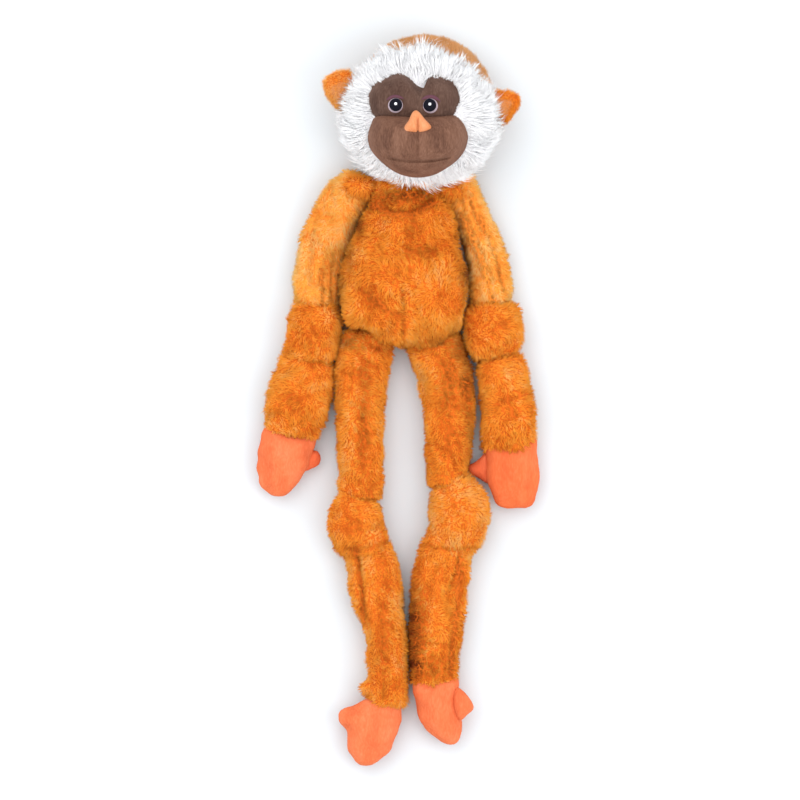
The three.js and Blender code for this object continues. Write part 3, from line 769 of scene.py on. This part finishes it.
sleeve(
    "right", "thigh",
    [(-22, 54, 17, 13), (-24.5, 38, 18.6, 14), (-27, 23, 18.2, 14.5), (-28, 8, 17, 14.5),
     (-28.5, -7, 15.8, 14.5), (-28, -36, 15.2, 14.5), (-28, -60, 14.4, 14), (-28, -73.5, 14, 13.5)],
    (8, 1.6), 17, **LEG_PILE,
)
sleeve(
    "right", "knee",
    [(-27.7, -73, 14.4, 14), (-30, -80, 17.2, 16), (-31.5, -89, 19.6, 17), (-30.3, -97, 19.3, 17),
     (-25.5, -105, 16.8, 15.6), (-21.9, -115.5, 14.8, 13.4)],
    (1.8, 1.8), 18, fill=0.85, **LEG_PILE,
)


def right_shin_shape(u, a):
    """A thinner roll along the outside of the upper shin, and a small tuck that sticks out above the cuff."""
    fold = 2.2 + 0.35 * step(u, 0.2, 0.45)
    depth = 5.5 * (1 - step(u, 0.42, 0.58))
    out = -depth * np.exp(-(((a - fold) / 0.14) ** 2))
    tuck = np.exp(-(((a - 2.95) / 0.4) ** 2)) * np.exp(-(((u - 0.89) / 0.035) ** 2))
    return out + 6.0 * tuck


sleeve(
    "right", "shin",
    [(-22.2, -107.5, 14.4, 12.2), (-21, -114, 15.8, 13.6), (-18.7, -124, 17.3, 14),
     (-16.8, -137, 18, 14.5), (-13.2, -156, 15.8, 14.5), (-9.4, -173, 13, 14.5), (-8.2, -190, 12.8, 14),
     (-8, -209, 13.2, 14), (-8.2, -229, 12.6, 12)],
    (1.8, 2), 19, right_shin_shape, **LEG_PILE, pale=0.3,
)
sleeve(
    "left", "thigh",
    [(28, 53, 18, 13), (29.3, 38, 19.2, 14), (33.8, 23, 18.2, 14.5), (37, 8, 18, 14.5),
     (38.4, -7, 17, 14.5), (38, -34, 15.3, 14.5), (36.8, -50, 13.2, 14), (36.8, -63.5, 12.8, 13.5)],
    (8, 1.6), 20, **LEG_PILE,
)
sleeve(
    "left", "knee",
    [(37.3, -61, 13.2, 14), (42.2, -70, 17.8, 16), (45, -79, 20.3, 17), (45.2, -88, 20.8, 17),
     (43.4, -97, 19.2, 17), (39.5, -105, 17.8, 15), (36.3, -114, 16.8, 13.4)],
    (1.6, 1.8), 21, fill=0.85, **LEG_PILE, pale=0.85,
)
sleeve(
    "left", "shin",
    [(37.2, -106, 16, 12.2), (35.9, -112.5, 17.6, 13.6), (34.5, -120, 18.2, 14), (32.5, -130, 19, 14.5),
     (30, -147, 19, 14.5), (28.4, -172, 17.6, 14), (27, -191, 16.2, 13.5), (26.5, -213, 15.5, 12)],
    (1.8, 2), 22, long_folds([(0.85, 0.0, 0.95), (1.7, 0.1, 0.5)], 3.4, 0.12), **LEG_PILE,
)

# The fur that a limb is sewn on with: (body, node, joint, place from the joint, height, half sizes, seed).
for side, sign in (("right", -1), ("left", 1)):
    for body, node, joint, (dx, dy), height, halves, seed in (
        ("shoulder", "shoulder_gusset", "shoulder_raise", (-13 * sign, 1), 19, (15, 9, 12), 31),
        ("hip", "hip_gather", "hip_turn", (0, 4), 14, (13, 9, 10), 35),
    ):
        x, y, _ = joint_at(side + "_" + joint)
        node = side + "_" + node
        v, f = egg_skin((x + dx, y + dy, height), halves, 16, 28)
        gather = furry(node + "_fur", v, f, coat(), seed + sign, ORANGE_FUR)
        settle(gather, body=side + "_" + body, stands_for=[node])

# ---- torso
TORSO_ROWS = [
    (6, 172, 20, 17), (5.5, 164, 23.5, 19), (7, 150, 28, 21), (8, 142, 30.5, 22.5), (7.5, 133, 33, 23.5),
    (6, 124, 37, 24.5), (5, 112, 41, 26), (5, 100, 44, 27), (4.5, 87, 45.4, 28), (3.4, 71, 44.8, 28),
    (3.0, 63, 44, 27), (2.6, 57, 40.5, 25), (2.2, 52, 33, 23), (1.4, 47.5, 21.5, 20), (0.8, 43.5, 9, 16),
]


BELLY_SEAM_DEPTH, YOKE_SEAM_DEPTH = 2.6, 4.0


def torso_shape(u, a):
    """The centre seam of the belly and the yoke seam that curves across the chest."""
    out = np.zeros(np.broadcast_shapes(u.shape, a.shape))
    front = np.abs(a - math.pi / 2)
    lower = step(u, 0.62, 0.72) * (1 - step(u, 0.95, 1.0))
    out = out - BELLY_SEAM_DEPTH * np.exp(-((front / 0.04) ** 2)) * lower
    yoke = np.abs(u - 0.165 - 0.05 * np.clip(1 - (front / 0.75) ** 2, 0, 1))
    out = out - YOKE_SEAM_DEPTH * np.exp(-((yoke / 0.02) ** 2)) * (1 - step(front, 0.65, 0.95))
    return out


v, f = limb_skin(TORSO_ROWS, (10, 3), torso_shape, rings=90, around=96, floor=0.8)
TORSO_COAT = coat(swirl=1.5, swirl_size=70, length=5.4)
torso = furry("torso_fur", lumpy(v, f, 0.9, 26, 41), f, TORSO_COAT, 42, ORANGE_FUR)
settle(torso, body="torso", stands_for=both("torso"))

v, f = egg_skin((12, 170, 27), (22, 12, 20), 20, 40)
yoke = furry("neck_yoke_fur", v, f, coat(), 44, ORANGE_FUR)
settle(yoke, body="neck", stands_for=["neck_yoke"])

# ---- head
FACE_AT = np.array([15.0, 206.0])
FACE_EDGE_AT, FACE_EDGE = (14.5, 205), (33.5, 35)
NOTCH_AT, NOTCH_HALF_WIDTH, NOTCH_FROM = 19.5, 4.5, 231
RUFF_AT = (17, 214)


def out_from_face(p):
    """The way the ruff is combed: outwards all round, and a little down."""
    d = np.column_stack([p[:, 0] - FACE_AT[0], p[:, 1] - FACE_AT[1], np.full(len(p), -6.0)])
    return unit(d)


def from_middle(p):
    return np.hypot(p[:, 0] - RUFF_AT[0], p[:, 1] - RUFF_AT[1])


def crown_side(p):
    """1 where the tan crown shows beyond the ruff, at the upper left of the toy's head."""
    a = np.degrees(np.arctan2(p[:, 1] - RUFF_AT[1], p[:, 0] - RUFF_AT[0]))
    return step(a, 12, 22) * (1 - step(a, 66, 88))


def face_distance(p):
    """How far out from the face panels a point is, with 1 at their edge."""
    return np.hypot((p[:, 0] - FACE_EDGE_AT[0]) / FACE_EDGE[0], (p[:, 1] - FACE_EDGE_AT[1]) / FACE_EDGE[1])


def ruff_length(p):
    """Share of the ruff's full length: short where it meets the face and where the crown shows."""
    notch = (np.abs(p[:, 0] - NOTCH_AT) < NOTCH_HALF_WIDTH) & (p[:, 1] > NOTCH_FROM)
    near_face = np.maximum(0.3 + 0.7 * step(face_distance(p), 0.93, 1.14), 0.7 * notch)
    return near_face * (1 - 0.25 * crown_side(p) * step(from_middle(p), 30, 42))


v, f = egg_skin((20, 222, 33), (50.5, 50.5, 33), 44, 72)
CROWN_COAT = coat(length=5, comb=(-0.4, 1, 0.2), clump=0.3, swirl=0.4, rub=0.3)
crown = furry(
    "head_cover_fur", v, f, CROWN_COAT, 51, (TAN_BACKING, TAN),
    keep=lambda p: (p[:, 2] < 46) | (from_middle(p) > 38),
)
settle(crown, body="head", stands_for=both("head"))

v, f = egg_skin((*RUFF_AT, 46), (52, 47, 38), 44, 72, low=26)
trimmed = 1 - 0.012 * crown_side(v) * step(from_middle(v), 24, 40)
for k in range(2):
    v[:, k] = RUFF_AT[k] + (v[:, k] - RUFF_AT[k]) * trimmed
RUFF_COAT = coat(
    spacing=1.3, width=0.72, length=15.5, tilt=1.12, comb=out_from_face,
    swirl=0.35, swirl_size=22, clump=0.38, clump_size=5.5, curl=0.22, bends=1, rub=0,
)
ruff = furry(
    "mane_fur", v, f, RUFF_COAT, 52, (WHITE_BACKING, WHITE),
    keep=lambda p: (face_distance(p) > 0.84) & (p[:, 2] > 30), share_of_length=ruff_length,
)
settle(ruff, body="head", stands_for=["mane"])

# Brow, muzzle and chin: puffed velour panels.
BROW_ROWS = [
    (2, 243), (-7, 240.5), (-15, 236), (-19.5, 229), (-19.5, 221), (-16.5, 213), (-8, 209), (14, 204),
    (35, 208), (41, 212.5), (44, 219), (45.5, 227), (43, 234), (36, 240), (28, 242), (22.5, 240.5),
    (19.5, 234.5), (14, 236), (9, 240),
]
BROW_MIDDLE, BROW_WIDER, BROW_RISES_AT, BROW_HIGHER = 14, 1.1, 225, 1.2
BROW_OUTLINE = [
    (BROW_MIDDLE + BROW_WIDER * (x - BROW_MIDDLE), y + (BROW_HIGHER - 1) * max(y - BROW_RISES_AT, 0))
    for x, y in BROW_ROWS
]
v, f = pillow(BROW_OUTLINE, 66, 28, 8, power=2.6, rings=18, around=110, centre=(14, 222))
brow = mesh_object("brow_panel_velour", v, facing_out(v, f), [BROWN_DEEP])
brow_tree = BVHTree.FromPolygons(v.tolist(), facing_out(v, f).tolist())
settle(brow, body="head", stands_for=["brow_panel"])

MUZZLE_OUTLINE = [
    (-16.9, 213.6), (-20.9, 205.4), (-22.6, 197.6), (-20.6, 188.8), (-13.8, 180.4), (-4.9, 173.2), (4.1, 169),
    (15.2, 167.4), (26.2, 169.2), (35.3, 173.8), (44.2, 180.4), (49.8, 187.7), (52.3, 196.5), (51.2, 204.3),
    (46.2, 212.4), (38, 215.6), (15, 216.5), (-8, 216),
]
MUZZLE_MIDDLE, MUZZLE_FRONT = 15, 75
MOUTH_AT, MOUTH_CURVE, MOUTH_DEPTH, MOUTH_WIDTH = 179.3, 0.0055, 3.8, 0.95
LIP_SEAM_AT, LIP_SEAM_DEPTH, LIP_SEAM_WIDTH = 14.6, 1.6, 0.9


def sew_mouth(v):
    """Draws in the mouth seam and the seam that runs from it up to the nose."""
    x, y = v[:, 0], v[:, 1]
    front = v[:, 2] > MUZZLE_FRONT
    mouth = MOUTH_AT + MOUTH_CURVE * (x - MUZZLE_MIDDLE) ** 2
    across = np.exp(-(((y - mouth) / MOUTH_WIDTH) ** 2)) * (1 - step(np.abs(x - MUZZLE_MIDDLE), 22, 28))
    up = np.exp(-(((x - LIP_SEAM_AT) / LIP_SEAM_WIDTH) ** 2)) * step(y, 178, 182) * (1 - step(y, 199, 203))
    v[:, 2] -= front * (MOUTH_DEPTH * across + LIP_SEAM_DEPTH * up)


MUZZLE_CENTRE = (MUZZLE_MIDDLE, 193)
v, f = pillow(MUZZLE_OUTLINE, 72, 36, 10, power=2.1, rings=44, around=150, centre=MUZZLE_CENTRE, edge=0.56)
sew_mouth(v)
muzzle = mesh_object("muzzle_panel_velour", v, facing_out(v, f), [BROWN])
settle(muzzle, body="head", stands_for=["muzzle_panel", "chin_panel"])

NOSE_OUTLINE = [
    (13.2, 217.4), (10.5, 215.5), (8, 210), (4.6, 205), (4.8, 201.5), (9, 200.2), (14.8, 199.6), (20, 200.5),
    (24.6, 203), (24.6, 206), (20, 211), (16, 216),
]
NOSE_BASE = 101
NOSE_SEAM_AT, NOSE_SEAM_DEPTH, NOSE_SEAM_WIDTH = 14.8, 2.4, 0.8
v, f = pillow(NOSE_OUTLINE, NOSE_BASE, 7, 5, power=2.6, rings=16, around=80)
nose_seam = np.exp(-(((v[:, 0] - NOSE_SEAM_AT) / NOSE_SEAM_WIDTH) ** 2))
v[:, 2] -= NOSE_SEAM_DEPTH * nose_seam * (v[:, 2] > NOSE_BASE) * (1 - step(v[:, 1], 209, 215))
nose = mesh_object("nose_velour", v, facing_out(v, f), [NOSE])
settle(nose, body="head", stands_for=["nose"])

ABOVE_FACE = 200.0
UNDER_STITCHES = 1.2


def stitched(name, outline, lift, rise, thread_used, **sizes):
    """A flat patch of satin stitch laid on the brow: its heights are taken from the velour below it."""
    v, f = pillow(outline, 0, rise, UNDER_STITCHES, floor=-9, **sizes)
    for row in v:
        below = brow_tree.ray_cast((row[0], row[1], ABOVE_FACE), (0, 0, -1))[0]
        row[2] += below[2] + lift
    return mesh_object(name, v, facing_out(v, f), [thread_used])


def around_point(x, y, radii, angles):
    return [(x + r * math.cos(a), y + r * math.sin(a)) for r, a in zip(radii, angles)]


CORNERS = 12
# Parts of an eye: (name, thread, radius, lift, rise, share of the pupil's shift, up, points round it).
EYE_LAYERS = (
    ("ring", PALE_THREAD, 5.6, 0.1, 0.7, 0, 0, 40),
    ("pupil", DARK_THREAD, 4.85, 0.7, 0.8, 1, 0, 40),
    ("glint", WHITE_THREAD, 1.1, 1.5, 0.5, 1, 0.8, 24),
)


def eye(side, x, y, dx, dy):
    """A pale ring, a dark pupil a little off its centre and a white glint, all in satin stitch."""
    turns = np.linspace(0, 2 * math.pi, CORNERS, endpoint=False)
    for layer, thread_used, radius, lift, rise, shifted, up, around in EYE_LAYERS:
        outline = around_point(x + shifted * dx, y + shifted * dy + up, [radius] * CORNERS, turns)
        name = side + "_eye_" + layer
        disc = stitched(name, outline, lift, rise, thread_used, power=2.2, rings=8, around=around)
        settle(disc, body="head", stands_for=[side + "_eye"] if layer == "ring" else ())


def lid(side, x, y, reach, start, end, thick):
    """An embroidered arc above an eye."""
    turns = np.linspace(math.radians(start), math.radians(end), 9)
    inside = reach - 0.25 - thick * np.sin(np.linspace(0, math.pi, 9))
    outline = around_point(x, y, [reach] * 9, turns) + around_point(x, y, inside, turns)[::-1]
    arc = stitched(side + "_eye_lid", outline, 0.1, 0.5, PLUM_THREAD, rings=6, around=60)
    settle(arc, body="head")


lid("right", -1.9, 221.0, 8.2, 40, 150, 1.4)
lid("left", 24.2, 220.8, 8.4, 25, 145, 1.9)
eye("right", -1.9, 221.2, 0.2, 0.5)
eye("left", 24.2, 220.9, -0.4, 0.5)

# ---- ears
EAR_COAT = dict(spacing=0.85, width=0.55, length=3.9, comb=(0, -0.7, 0.3), clump=0.4, swirl=0.4, rub=0.3)
LINING_COAT = dict(spacing=0.8, width=0.5, length=2.6, comb=(0, -1, 0.2), clump=0.3, swirl=0.3, rub=0)
LINING_SHARE = 0.55
# Each ear's outline, the middle of its lining and how much paler than the body it is.
EARS = {
    "right": (
        [(-36, 247), (-47, 246.5), (-54, 241.5), (-55, 235), (-51, 227), (-45, 220), (-37, 220), (-32, 233)],
        (-43, 229), 1.1,
    ),
    "left": (
        [(66, 231), (80, 232), (88, 230), (91, 226), (88, 218), (82, 210.5), (74, 209), (66, 218)],
        (78, 220), -0.4,
    ),
}
for side, (outline, (cx, cy), pale) in EARS.items():
    node = side + "_ear"
    v, f = pillow(outline, 40, 7, 7, rings=12, around=56)
    rim = furry(node + "_fur", v, f, coat(**EAR_COAT, pale=pale), 61, ORANGE_FUR)
    settle(rim, body=node, stands_for=[node])
    inner = [(cx + LINING_SHARE * (x - cx), cy + LINING_SHARE * (y - cy)) for x, y in outline]
    v, f = pillow(inner, 46, 2.5, 3, rings=8, around=40)
    lining = furry(node + "_lining_fur", v, f, coat(**LINING_COAT), 63, (PALE_BACKING, PALE))
    settle(lining, body=node, stands_for=[node + "_lining"])

# ---- stuffing by cloth simulation
SIMULATED_FRAMES = 20
# A pad this small needs far more pressure than a seat cushion to stretch its cloth by the same share.
STUFFING_PRESSURE = 4000.0
CLOTH_STIFFNESS = 5.0
CLOTH_MASS = 0.002
CLOTH_QUALITY = 5
# In mm: how far the filling may push a point, and half the height of the band held by the seam.
STUFFING_CAP = 3.5
SEAM_HALF_WIDTH = 1.6
# The share of its full height that a pad has before it is stuffed.
UNSTUFFED = 0.8


def surface_of(o):
    """Vertices in millimetres and triangles of an object with its modifiers applied."""
    seen = o.evaluated_get(bpy.context.evaluated_depsgraph_get())
    me = seen.to_mesh()
    me.calc_loop_triangles()
    v = np.zeros(len(me.vertices) * 3)
    me.vertices.foreach_get("co", v)
    f = np.zeros(len(me.loop_triangles) * 3, int)
    me.loop_triangles.foreach_get("vertices", f)
    seen.to_mesh_clear()
    return v.reshape(-1, 3) / MM, f.reshape(-1, 3)


def stuffed(v, f, middle, voxel):
    """The skin swollen by its filling in a cloth simulation, held along the seam at its middle height."""
    scene = bpy.context.scene
    start = mesh_object("stuffing", v, f, [])
    remesh = start.modifiers.new("Remesh", "REMESH")
    remesh.mode = "VOXEL"
    remesh.voxel_size = voxel * MM
    v0, f0 = surface_of(start)
    bpy.data.objects.remove(start)
    bag = mesh_object("stuffing", v0, f0, [])
    seam = np.nonzero(np.abs(v0[:, 2] - middle) < SEAM_HALF_WIDTH)[0]
    bag.vertex_groups.new(name="seam").add([int(i) for i in seam], 1.0, "REPLACE")
    cloth = bag.modifiers.new("Cloth", "CLOTH")
    settings = cloth.settings
    settings.use_pressure = True
    settings.uniform_pressure_force = STUFFING_PRESSURE
    settings.effector_weights.gravity = 0
    settings.quality = CLOTH_QUALITY
    settings.mass = CLOTH_MASS
    settings.tension_stiffness = CLOTH_STIFFNESS
    settings.compression_stiffness = CLOTH_STIFFNESS
    settings.shear_stiffness = CLOTH_STIFFNESS / 3
    settings.vertex_group_mass = "seam"
    cloth.point_cache.frame_start = 1
    cloth.point_cache.frame_end = SIMULATED_FRAMES
    for k in range(1, SIMULATED_FRAMES + 1):
        scene.frame_set(k)
    v1, _ = surface_of(bag)
    bpy.data.objects.remove(bag)
    scene.frame_set(1)
    move = v1 - v0
    far = np.linalg.norm(move, axis=1, keepdims=True)
    v1 = v0 + move * np.minimum(1, STUFFING_CAP / np.maximum(far, 1e-9))
    smooth = mesh_object("stuffing", v1, f0, [])
    finer = smooth.modifiers.new("Subdivision", "SUBSURF")
    finer.levels = 1
    v2, f2 = surface_of(smooth)
    bpy.data.objects.remove(smooth)
    return v2, f2


# ---- hands and feet
HANDS = {
    "right": [
        (-100, -19), (-104.5, -32), (-106.5, -46), (-106, -57), (-102, -66), (-95, -71), (-87, -71.5),
        (-80, -68), (-74, -60), (-68, -50), (-63.5, -38), (-60, -26), (-68, -20), (-84, -16),
    ],
    "left": [
        (66, -28), (65.5, -42), (66, -56), (68.5, -68), (74, -77), (84, -81), (95, -81), (102, -76),
        (105.5, -66), (106, -52), (105, -38), (104, -27), (95, -24), (78, -24),
    ],
}
FEET = {
    "right": [
        (-25, -224), (-35, -228), (-42, -231), (-46, -234), (-46.5, -238), (-43, -242), (-39.5, -247),
        (-38, -256), (-37, -265), (-32, -271), (-24, -273.5), (-15, -271), (-7, -264), (-1, -253),
        (2.5, -241), (3, -231), (1, -222), (-10, -219),
    ],
    "left": [
        (12, -206), (11, -217), (13, -230), (17, -241), (24, -250), (33, -256), (42, -257), (46.8, -252),
        (48, -243), (47.5, -232), (45.5, -220), (45, -208), (36, -204), (22, -204),
    ],
}


# A pad's top and underside, in shares of its height, and how far its seam is drawn in, over what height.
PAD_TOP, PAD_UNDER = 0.49, 0.45
SEAM_DEPTH, SEAM_SPREAD = 0.7, 1.1
LOWEST_PAD = 0.4


def mitten(name, outline, height, stands_for, body=None, fill=0.7, material=CORAL, power=2.8, voxel=2.5):
    """A velour pad of two halves sewn round the edge, stuffed, with the seam drawn in afterwards."""
    half = height * 0.5
    flat = height * UNSTUFFED
    piece = name + "_velour"
    v, f = pillow(outline, half, PAD_TOP * flat, PAD_UNDER * flat, power=power, rings=18, around=96)
    v, f = stuffed(v, facing_out(v, f), half, voxel)
    n = vertex_normals(v, facing_out(v, f))
    drawn_in = SEAM_DEPTH * np.exp(-(((v[:, 2] - half) / SEAM_SPREAD) ** 2))
    v = v + n * (0.45 * waves(v, 15, len(piece)) - drawn_in)[:, None]
    v[:, 2] = np.maximum(v[:, 2], LOWEST_PAD)
    o = mesh_object(piece, v, facing_out(v, f), [material])
    settle(o, body=body or name, stands_for=stands_for)


THUMB = dict(fill=0.5, material=CORAL_THUMB_SHADED, power=2.2, voxel=1.6)
RIGHT_THUMB = [(-72, -38), (-65, -36), (-59, -37), (-57, -42), (-59, -48), (-65, -51), (-72, -52)]
LEFT_THUMB = [(70, -38), (62, -42), (53, -47), (52, -50), (56, -55), (63, -59), (71, -62)]
LEFT_TOE = [(42, -219), (45.5, -214.8), (52.5, -221), (56.8, -229.5), (52, -235), (46.5, -239), (42, -231)]

mitten("right_hand", HANDS["right"], 25, ["right_hand", "right_hand_filling"])
mitten("left_hand", HANDS["left"], 26, ["left_hand", "left_hand_filling"], material=CORAL_SHADED)
mitten("right_foot", FEET["right"], 28, ["right_foot", "right_foot_filling", "right_big_toe"])
mitten("left_foot", FEET["left"], 28, ["left_foot", "left_foot_filling"])
mitten("right_thumb", RIGHT_THUMB, 15, ["right_thumb"], "right_hand", **THUMB)
mitten("left_thumb", LEFT_THUMB, 16, ["left_thumb"], "left_hand", **THUMB)
v, f = pillow(LEFT_TOE, 21, 7, 9, rings=10, around=48)
toe = mesh_object("left_big_toe_velour", v, facing_out(v, f), [CORAL])
settle(toe, body="left_foot", stands_for=["left_big_toe"])

# ---- floor, light and camera
FLOOR_HALF = 3000.0
FLOOR_COLOUR = (0.64, 0.68, 0.71, 1)
m, _, shader = new_material("studio_floor", 0.9, specular=0.1)
shader.inputs["Base Color"].default_value = FLOOR_COLOUR
corners = np.array([(-1, -1, 0), (1, -1, 0), (1, 1, 0), (-1, 1, 0)]) * FLOOR_HALF
floor = mesh_object("studio_floor", corners, np.array([[0, 1, 2, 3]]), [m])

ROOM_LIGHT = 1.34
world = bpy.data.worlds.new("studio")
world.use_nodes = True
background = world.node_tree.nodes["Background"]
background.inputs["Color"].default_value = (1.0, 1.0, 1.0, 1)
background.inputs["Strength"].default_value = ROOM_LIGHT
scene = bpy.context.scene
scene.world = world


def area_light(name, at, size, power):
    """A round soft light that faces the toy."""
    light = bpy.data.lights.new(name, "AREA")
    light.shape = "DISK"
    light.size = size
    light.energy = power
    o = bpy.data.objects.new(name, light)
    o.location = at
    o.rotation_euler = (-Vector(at)).to_track_quat("-Z", "Y").to_euler()
    scene.collection.objects.link(o)


area_light("key", (-0.7, 0.9, 1.9), 2.6, 20)
area_light("fill", (1.2, -0.3, 1.6), 1.4, 10)

# A far camera with a long lens sees the raised head without spreading it. Distances are in metres.
CAMERA_HEIGHT = 20.0
CAMERA_REACH = 50
MIDDLE_OF_TOY = (0.0015, 0.0011)
SHARP_HEIGHT = 0.02
FRAME_WIDTH = 0.6
scene.view_settings.view_transform = "Standard"
camera = bpy.data.cameras.new("camera")
camera.sensor_width = 36
camera.clip_end = CAMERA_REACH
camera.lens = camera.sensor_width * (CAMERA_HEIGHT - SHARP_HEIGHT) / FRAME_WIDTH
eye_point = bpy.data.objects.new("camera", camera)
eye_point.location = (*MIDDLE_OF_TOY, CAMERA_HEIGHT)
scene.collection.objects.link(eye_point)
scene.camera = eye_point
